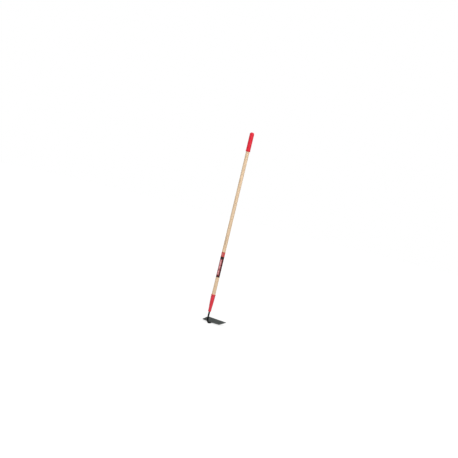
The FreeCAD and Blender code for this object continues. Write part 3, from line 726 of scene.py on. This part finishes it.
def blade_plate():
    """Flat plate cut to its outline, corners rounded, edge ground and every arris eased."""
    bpy.ops.object.select_all(action="DESELECT")
    bpy.ops.mesh.primitive_plane_add(size=1, location=(0, 0, 0))
    piece = start_object("blade_plate")
    bpy.ops.transform.resize(value=(BLADE_DEPTH, BLADE_WIDTH, 1), center_override=(0, 0, 0))
    bpy.ops.transform.translate(value=(BLADE_DEPTH / 2, 0, 0))
    crown, shoulder = (0, CROWN_WIDTH / 2), (SHOULDER_DROP, BACK_WIDTH / 2)
    tip = (BLADE_DEPTH, BLADE_WIDTH / 2)
    for start, end in ((crown, shoulder), (shoulder, tip)):
        for side in (-1, 1):
            away = (start[1] - end[1], side * (end[0] - start[0]), 0)
            bpy.ops.mesh.select_all(action="SELECT")
            bpy.ops.mesh.bisect(plane_co=(start[0], side * start[1], 0), plane_no=away, clear_outer=True)
    bpy.ops.mesh.select_all(action="SELECT")
    bpy.ops.mesh.remove_doubles(threshold=0.01 * MM)
    for reach, (x, y) in ((CROWN_ROUND, crown), (SHOULDER_ROUND, shoulder), (TIP_ROUND, tip)):
        select_where(piece, lambda p: abs(p.x - x) < 0.01 * MM and abs(abs(p.y) - y) < 0.01 * MM)
        bpy.ops.mesh.bevel(affect="VERTICES", offset=reach, segments=10, profile=0.5)
    bpy.ops.mesh.select_all(action="SELECT")
    bpy.ops.mesh.extrude_region_move(TRANSFORM_OT_translate={"value": (0, 0, PLATE)})
    bpy.ops.mesh.select_mode(type="EDGE")
    bpy.ops.mesh.select_all(action="DESELECT")
    bpy.ops.mesh.edges_select_sharp(sharpness=math.radians(40))
    bpy.ops.mesh.bevel(affect="EDGES", offset=ARRIS, segments=3, profile=0.5, clamp_overlap=True)
    bpy.ops.mesh.select_all(action="SELECT")
    slope = math.atan2(BEVEL_RISE, BEVEL_LENGTH)
    start, away = (BLADE_DEPTH - BEVEL_LENGTH, 0, 0), (math.sin(slope), 0, -math.cos(slope))
    bpy.ops.mesh.bisect(plane_co=start, plane_no=away, clear_outer=True, use_fill=True)
    bpy.ops.mesh.select_all(action="SELECT")
    bpy.ops.transform.translate(value=BLADE_ORIGIN)
    # With no window open this turns the other way round from the usual sense.
    bpy.ops.transform.rotate(value=LIFT, orient_axis="Y", center_override=BLADE_ORIGIN)
    return finish_object(piece, angle=10)


def weld_bead(name, start, end, corner, leg):
    """A rippled bead from start to end, set a little towards the corner's open side.

    Its radius is 0.62 of the leg, a little more on each ripple, and falls to about half at both ends.
    """
    run = end - start
    heading = run.normalized()
    up = heading.cross(corner).normalized()
    count = max(int(run.length / WELD_RIPPLE) * 5, 10)
    stations = []
    for i in range(count + 1):
        share = i / count
        wave = abs(math.sin(math.pi * share * run.length / WELD_RIPPLE))
        fade = min(1.0, math.sin(math.pi * min(max(share, 0.02), 0.98)) * 2.2)
        radius = leg * (0.62 + 0.07 * wave) * (0.45 + 0.55 * fade)
        stations.append((start + run * share + corner * leg * 0.1, corner, up, radius, radius, ROUND))
    return swept(name, stations, around=24)


def foot_welds():
    """The four beads round the foot, in its corner with the blade's outer face."""
    face = BLADE_ORIGIN
    foot_end = FOOT_LENGTH - BLADE_SETBACK
    beads = []
    for name, sign in (("left", -1), ("right", 1)):
        edge = Vector((0, sign * FOOT_HALF_WIDTH, 0))
        out = (Vector((0, sign, 0)) + OUT).normalized()
        start, end = face + ALONG * WELD_START + edge, face + ALONG * (foot_end - WELD_STOP) + edge
        beads.append((f"weld_bead_{name}", start, end, out, WELD_LEG))
    half = Vector((0, FOOT_HALF_WIDTH - WELD_SHORT, 0))
    toe = face + ALONG * foot_end
    beads.append(("weld_bead_toe", toe - half, toe + half, (ALONG + OUT).normalized(), WELD_LEG))
    beads.append(("weld_bead_back", face - half, face + half, (-ALONG - OUT).normalized(), BACK_WELD_LEG))
    return [(weld_bead(f"{name}_run", start, end, out, leg), name) for name, start, end, out, leg in beads]


# ---------------------------------------------------------------- assembly
RED_ENAMEL = enamel(
    "red_enamel", (0.81, 0.034, 0.062, 1), (0.72, 0.026, 0.049, 1), roughness=0.24, wear=0.5,
)
BLACK_ENAMEL = enamel(
    "black_enamel", (0.004, 0.004, 0.0045, 1), (0.003, 0.003, 0.0035, 1), roughness=0.16, wear=0.8,
    shine=0.22, coat=0.03, peel=0.05 * MM, dents=0.5 * MM,
)

belongs(wooden_handle(), ash_wood(), "wood", "handle")
belongs(hand_grip(), red_vinyl(), "grip_vinyl", "end_grip")
belongs(label_film(), printed_label(), "label_film", "label_wrap")
belongs(steel_ferrule(), RED_ENAMEL, "ferrule_enamel", "ferrule")
belongs(through_rivet(), rivet_zinc(), "rivet_steel", "ferrule_rivet")
belongs(neck_bar(), BLACK_ENAMEL, "neck_enamel", "neck")
belongs(blade_plate(), blade_paint(), "blade_lacquer", "blade")
for bead, node in foot_welds():
    belongs(bead, BLACK_ENAMEL, "neck_enamel", node)


# ---------------------------------------------------------------- stage, light and camera
VIEW_AZIMUTH, VIEW_ELEVATION, VIEW_ROLL = (math.radians(angle) for angle in (-60.3, 2.3, 13.5))
VIEW_DISTANCE, VIEW_LENS = 5.0, 51.0
AIM = Vector((-0.0009, 0.0016, 0.4519))
SOFTBOXES = (
    # name, degrees round from the camera, elevation, distance, width, height, watts
    ("key", 24, 25, 3.2, 2.4, 3.2, 41),
    ("fill", -60, 12, 3.6, 1.0, 2.4, 7),
    ("top", 10, 72, 3.2, 1.6, 1.6, 10),
)


def direction(azimuth, elevation):
    """Unit vector from the object towards a place at that azimuth (0 is -Y) and elevation."""
    level = math.cos(elevation)
    return Vector((math.sin(azimuth) * level, -math.cos(azimuth) * level, math.sin(elevation)))


def make_camera():
    data = bpy.data.cameras.new("camera")
    data.lens = VIEW_LENS
    camera = bpy.data.objects.new("camera", data)
    bpy.context.collection.objects.link(camera)
    back = direction(VIEW_AZIMUTH, VIEW_ELEVATION)
    right = Vector((0, 0, 1)).cross(back).normalized()
    up = back.cross(right)
    rolled_right = right * math.cos(VIEW_ROLL) + up * math.sin(VIEW_ROLL)
    rolled_up = up * math.cos(VIEW_ROLL) - right * math.sin(VIEW_ROLL)
    turn = Matrix((rolled_right, rolled_up, back)).transposed()
    camera.matrix_world = Matrix.Translation(AIM + back * VIEW_DISTANCE) @ turn.to_4x4()
    bpy.context.scene.camera = camera


def softbox(name, round_from_camera, elevation, distance, width, height, watts):
    """A rectangular light at that side of the object, turned to it; both angles are in degrees."""
    data = bpy.data.lights.new(name, "AREA")
    data.shape, data.size, data.size_y, data.energy = "RECTANGLE", width, height, watts
    light = bpy.data.objects.new(name, data)
    bpy.context.collection.objects.link(light)
    back = direction(VIEW_AZIMUTH + math.radians(round_from_camera), math.radians(elevation))
    turn = back.to_track_quat("Z", "Y").to_matrix()
    light.matrix_world = Matrix.Translation(AIM + back * distance) @ turn.to_4x4()


def make_world():
    """White to look at; as a light, stronger from above and from the camera's side."""
    world = bpy.data.worlds.new("studio")
    bpy.context.scene.world = world
    world.use_nodes = True
    tree = world.node_tree
    shader = next(node for node in tree.nodes if node.type == "BACKGROUND")
    paths = add(tree, "ShaderNodeLightPath").outputs
    way = add(tree, "ShaderNodeTexCoord").outputs["Generated"]
    from_above = ramp(tree, parts_of(tree, way)[2], -0.4, 0.9, 0.75, 1.1)
    from_camera = ramp(tree, along(tree, way, direction(VIEW_AZIMUTH, 0)), -0.5, 0.9, 0.62, 1.0)
    glow = times(tree, from_above, from_camera)
    mirrored = times(tree, glow, 0.25)
    light = blend(tree, paths["Is Glossy Ray"], glow, mirrored)
    wire(tree, blend(tree, paths["Is Camera Ray"], light, (1, 1, 1, 1)), shader.inputs["Color"])
    shader.inputs["Strength"].default_value = 1.0


def make_floor():
    """Pale matt floor just under the hoe's lowest point, lifted to white where the camera sees it."""
    bpy.ops.object.select_all(action="DESELECT")
    bpy.ops.mesh.primitive_plane_add(size=60, location=(0, 0, CAD_BOX[0].z - 0.4 * MM))
    floor = bpy.context.object
    floor.name = "floor"
    material, tree, shader = new_material("pale_floor")
    place = place_of(tree)
    seen_tone = blend(tree, noise(tree, place, 3, detail=2), (0.21, 0.21, 0.21, 1), (0.19, 0.19, 0.19, 1))
    seen = add(tree, "ShaderNodeLightPath").outputs["Is Camera Ray"]
    away = add(tree, "ShaderNodeVectorMath", operation="LENGTH")
    wire(tree, place, away.inputs[0])
    lift = ramp(tree, away.outputs["Value"], 1.2, 4.5, 0.83, 0.9)
    dress(tree, shader, Base_Color=blend(tree, seen, (0.38, 0.38, 0.38, 1), seen_tone),
          Emission_Strength=times(tree, seen, lift), Emission_Color=(1, 1, 1, 1),
          Roughness=0.9, Specular_IOR_Level=0.1)
    floor.data.materials.append(material)


make_camera()
make_world()
make_floor()
for light in SOFTBOXES:
    softbox(*light)
bpy.context.scene.view_settings.view_transform = "Standard"
